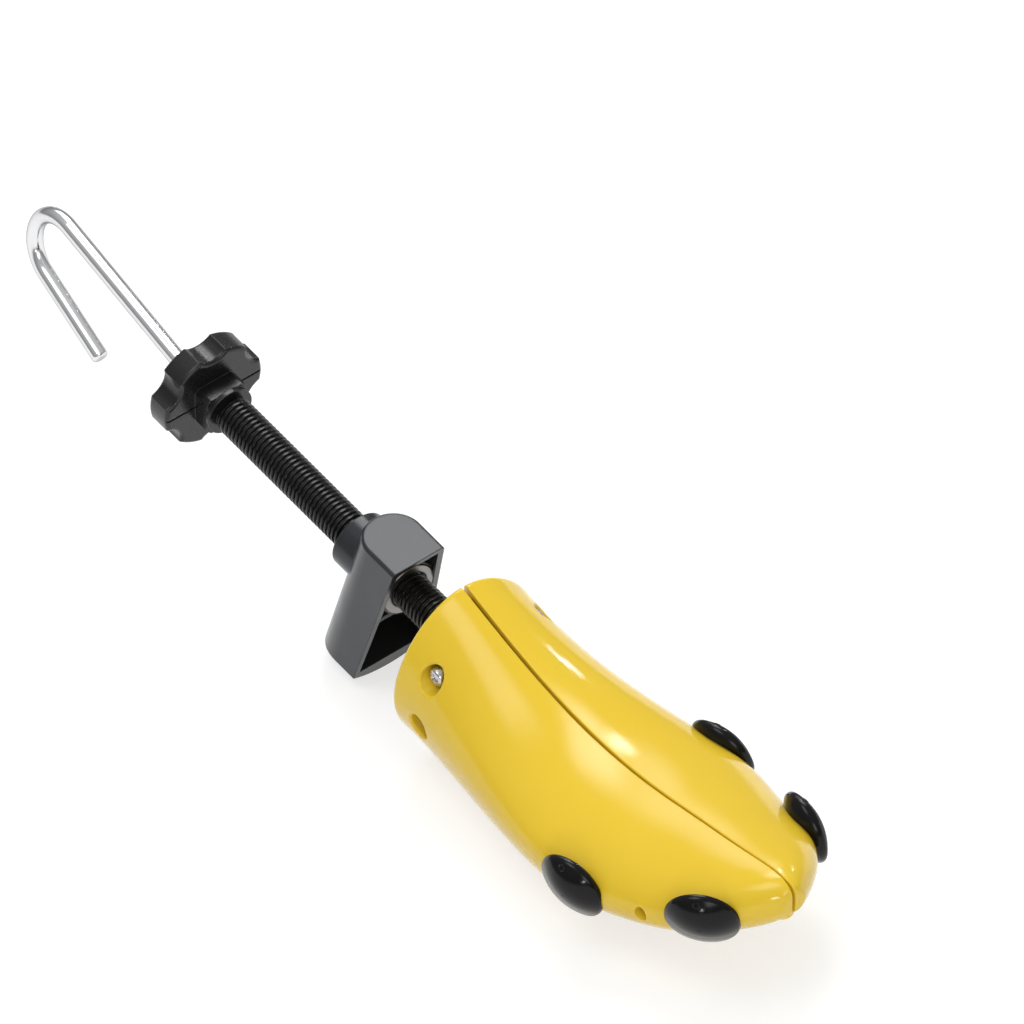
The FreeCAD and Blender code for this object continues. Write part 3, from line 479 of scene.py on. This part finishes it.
def makeLengthScrew(look):
    rings = [(look["spigotEnd"], look["bore"]), (look["spigotEnd"], look["neckRadius"]),
             (look["rear"], look["neckRadius"])]
    count = int(round((look["front"] - look["rear"]) / look["pitch"] * look["perPitch"]))
    rings += [(look["rear"] + (look["front"] - look["rear"]) * i / count, None) for i in range(count + 1)]
    low, high, cut = look["groove"]
    rings += [(look["front"], look["neckRadius"]), (low, look["neckRadius"]), (low, cut), (high, cut),
              (high, look["neckRadius"]), (look["neckEnd"], look["neckRadius"]),
              (look["neckEnd"], look["bore"])]
    points = []
    for x, radius in rings:
        for angle in ringAngles(look["aroundCount"]):
            r = threadRadius(look, x, angle) if radius is None else radius
            points.append((x, r * math.cos(angle), r * math.sin(angle)))
    faces = ringFaces(len(rings), look["aroundCount"])
    screw = addPiece("lengthScrew", points, faces, "length_screw", "black_screw", look["sharpAngle"])
    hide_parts("threaded_tube")


makeLengthScrew(tubeLook)
print("length screw cut")

# plate screws: pan heads with a cross recess, two in each half
screwLook = {
    "reach": 14.5,
    "heights": (10.0, -10.0),
    "turns": (24.0, 61.0),
    "seat": 15.0,
    "inner": 8.6,
    "headRadius": 3.5,
    "headTops": (22.9, 25.3),
    "domeHeight": 1.2,
    "domePower": 4,
    "shankRadius": 2.0,
    "slotLength": 2.2,
    "slotWidth": 0.7,
    "slotDepth": 1.1,
    "slotFlank": 1.6,
    "slotEnd": 2.2,
    "ringCount": 22,
    "aroundCount": 72,
    "sharpAngle": 40.0,
}


def crossDepth(look, u, v):
    depth = 0.0
    for along, aside in ((abs(u), abs(v)), (abs(v), abs(u))):
        across = easeIn(look["slotFlank"] * (1 - aside / look["slotWidth"]))
        depth = max(depth, across * easeIn(look["slotEnd"] * (1 - along / look["slotLength"])))
    return depth * look["slotDepth"]


def screwRings(look, top, turn):
    rings = []
    for i in range(look["ringCount"] + 1):
        share = i / look["ringCount"]
        level = top - look["domeHeight"] * (1 - math.sqrt(max(0.0, 1 - share ** look["domePower"])))
        ring = []
        for angle in ringAngles(look["aroundCount"]):
            reach = share * look["headRadius"]
            cut = crossDepth(look, reach * math.cos(angle - turn), reach * math.sin(angle - turn))
            ring.append((reach * math.cos(angle), level - cut, reach * math.sin(angle)))
        rings.append(ring)
    for radius, level in ((look["headRadius"], look["seat"]), (look["shankRadius"], look["seat"]),
                          (look["shankRadius"], look["inner"]), (0.0, look["inner"])):
        rings.append([(radius * math.cos(a), level, radius * math.sin(a))
                      for a in ringAngles(look["aroundCount"])])
    return rings


def makePlateScrews(look, side, sign):
    points, faces = [], []
    for height, top, turn in zip(look["heights"], look["headTops"], look["turns"]):
        rings = screwRings(look, top, math.radians(turn))
        faces += ringFaces(len(rings), look["aroundCount"], len(points), closed=False)
        for ring in rings:
            points += [(look["reach"] + u, sign * level, height + v) for u, level, v in ring]
    name = side + "CrossHeadScrews"
    screws = addPiece(name, points, faces, side + "_half", "plate_screws", look["sharpAngle"])
    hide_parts(side + "_plate_screws")


makePlateScrews(screwLook, "left", 1)
makePlateScrews(screwLook, "right", -1)
print("cross-head screws set")

# bush ring: the bright washer at the front of the heel's threaded boss
bushLook = {"front": -29.4, "rear": -29.95, "inner": 7.5, "outer": 10.2, "edge": 0.2, "aroundCount": 72}


def makeBushRing(look):
    inner, outer, edge = look["inner"], look["outer"], look["edge"]
    profile = [(look["rear"], inner), (look["front"] - edge, inner), (look["front"], inner + edge),
               (look["front"], outer - edge), (look["front"] - edge, outer), (look["rear"], outer)]
    points = [(x, radius * math.cos(a), radius * math.sin(a))
              for x, radius in profile for a in ringAngles(look["aroundCount"])]
    faces = ringFaces(len(profile), look["aroundCount"])
    addPiece("heelBushRing", points, faces, "heel", "bright_steel")


makeBushRing(bushLook)
print("bush ring in the heel")

# gate marks: a small moulded ring on the upper side of each plug's dome
gateLook = {"ringRadius": 1.1, "wireRadius": 0.26, "sink": 0.1, "domeRadius": 21.99, "lean": 30.0,
            "aroundCount": 36, "wireCount": 10}


def makeGateMark(look, name):
    crown, pull = plugCrown(name)
    lean = math.radians(look["lean"])
    rise = (Vector((0, 0, 1)) - pull * pull.z).normalized()
    way = pull * math.cos(lean) + rise * math.sin(lean)
    middle = crown + (way - pull) * look["domeRadius"] * metresPerMm
    side = way.orthogonal().normalized()
    other = way.cross(side)
    inverse = rodFrame.inverted()
    points = []
    for a in ringAngles(look["aroundCount"]):
        out = side * math.cos(a) + other * math.sin(a)
        for b in ringAngles(look["wireCount"]):
            reach = look["ringRadius"] + look["wireRadius"] * math.cos(b)
            lift = look["wireRadius"] * math.sin(b) - look["sink"]
            points.append(inverse @ (middle + (out * reach + way * lift) * metresPerMm))
    faces = ringFaces(look["aroundCount"], look["wireCount"])
    words = name.split("_")
    addPiece("gateMark" + words[1].title() + words[2].title(), points, faces, name, "black_plug")


for plugName in [name for name in nodes if name.startswith("plug_")]:
    makeGateMark(gateLook, plugName)
print("gate marks on the plugs")

# world, floor and lamps
studio = {
    "horizonLevel": 0.28,
    "zenithLevel": 0.54,
    "zenithFrom": 0.9,  # the sky's height, from 0 to 1, at which the zenith's level is reached
    "floorTone": 0.80,
    "floorSeenTone": 0.40,
    "floorGlow": 0.68,
    "floorRoughness": 0.9,
    "floorReach": 6.0,
    "floorDrop": 0.0002,
    "aim": (0.06, 0.0, 0.04),
    "lamps": {  # azimuth and elevation seen from the object, distance, width, height, level, soft edge
        "broadSoftbox": (140, 58, 1.6, 1.2, 0.8, 2.97, 0.35),
        "lowSoftbox": (150, 37, 1.7, 1.2, 0.75, 1.05, 0.35),
        "windowStrip": (110, 25, 1.4, 0.035, 0.07, 120.0, 0.0),
        "softSpot": (133, 44, 1.5, 0.11, 0.14, 26.0, 0.0),
        "overhead": (-100, 72, 1.7, 1.25, 1.25, 1.41, 0.35),
        "nearFill": (-20, 28, 1.8, 1.3, 0.95, 1.64, 0.35),
        "nearSpot": (-45, 10, 1.4, 0.055, 0.055, 150.0, 0.0),
    },
}


# an even studio room: pale overhead, darker towards the horizon
def makeWorld(look):
    world = bpy.data.worlds.new("studio")
    scene.world = world
    world.use_nodes = True
    tree = world.node_tree
    sky = tree.nodes["Background"]
    sky.inputs["Color"].default_value = (1, 1, 1, 1)
    parts = addNode(tree, "ShaderNodeSeparateXYZ")
    wire(tree, addNode(tree, "ShaderNodeTexCoord").outputs["Generated"], parts.inputs[0])
    level = addNode(tree, "ShaderNodeMapRange", interpolation_type="SMOOTHSTEP")
    wire(tree, parts.outputs["Z"], level.inputs["Value"])
    level.inputs["From Min"].default_value = 0.0
    level.inputs["From Max"].default_value = look["zenithFrom"]
    level.inputs["To Min"].default_value = look["horizonLevel"]
    level.inputs["To Max"].default_value = look["zenithLevel"]
    wire(tree, level.outputs["Result"], sky.inputs["Strength"])


def makeFloor(look):
    mesh = bpy.data.meshes.new("floor")
    reach = look["floorReach"]
    mesh.from_pydata([(-reach, -reach, 0), (reach, -reach, 0), (reach, reach, 0), (-reach, reach, 0)], [],
                     [(0, 1, 2, 3)])
    floor = bpy.data.objects.new("floor", mesh)
    floor.location.z = -look["floorDrop"]
    scene.collection.objects.link(floor)
    material = bpy.data.materials.new("whiteFloor")
    material.use_nodes = True
    tree = material.node_tree
    paper = tree.nodes["Principled BSDF"]
    shown = addNode(tree, "ShaderNodeBsdfPrincipled")
    for shader, tone in ((paper, look["floorTone"]), (shown, look["floorSeenTone"])):
        shader.inputs["Base Color"].default_value = (tone, tone, tone, 1)
        shader.inputs["Roughness"].default_value = look["floorRoughness"]
        shader.inputs["Specular IOR Level"].default_value = 0.0
    shown.inputs["Emission Color"].default_value = (1, 1, 1, 1)
    shown.inputs["Emission Strength"].default_value = look["floorGlow"]
    path = addNode(tree, "ShaderNodeLightPath").outputs
    seen = mathNode(tree, "MAXIMUM", path["Is Camera Ray"], path["Is Glossy Ray"])
    seen = mathNode(tree, "MAXIMUM", seen, path["Is Transmission Ray"])
    mix = addNode(tree, "ShaderNodeMixShader")
    wire(tree, seen, mix.inputs["Fac"])
    wire(tree, paper.outputs[0], mix.inputs[1])
    wire(tree, shown.outputs[0], mix.inputs[2])
    wire(tree, mix.outputs[0], tree.nodes["Material Output"].inputs["Surface"])
    mesh.materials.append(material)


# a softbox glows less towards its border, so its reflection has no hard edge
def softenEdges(data, edge):
    data.use_nodes = True
    tree = data.node_tree
    spot = addNode(tree, "ShaderNodeSeparateXYZ")
    wire(tree, addNode(tree, "ShaderNodeNewGeometry").outputs["Parametric"], spot.inputs[0])
    falls = []
    for axis in ("X", "Y"):
        off = mathNode(tree, "ABSOLUTE", mathNode(tree, "SUBTRACT", spot.outputs[axis], 0.5))
        falls.append(rampNode(tree, mathNode(tree, "SUBTRACT", 0.5, off), 0.0, edge))
    glow = mathNode(tree, "MULTIPLY", falls[0], falls[1])
    wire(tree, glow, tree.nodes["Emission"].inputs["Strength"])


def addLamp(name, aim, azimuth, elevation, distance, width, height, level, edge):
    az, el = math.radians(azimuth), math.radians(elevation)
    way = Vector((math.cos(az) * math.cos(el), math.sin(az) * math.cos(el), math.sin(el)))
    data = bpy.data.lights.new(name, "AREA")
    data.shape = "RECTANGLE"
    data.size = width
    data.size_y = height
    data.energy = level * math.pi * width * height / (1 - edge) ** 2
    if edge > 0:
        softenEdges(data, edge)
    lamp = bpy.data.objects.new(name, data)
    lamp.location = Vector(aim) + way * distance
    lamp.rotation_euler = way.to_track_quat("Z", "Y").to_euler()
    scene.collection.objects.link(lamp)


makeWorld(studio)
makeFloor(studio)
for lampName, lampValues in studio["lamps"].items():
    addLamp(lampName, studio["aim"], *lampValues)
print("studio lit")
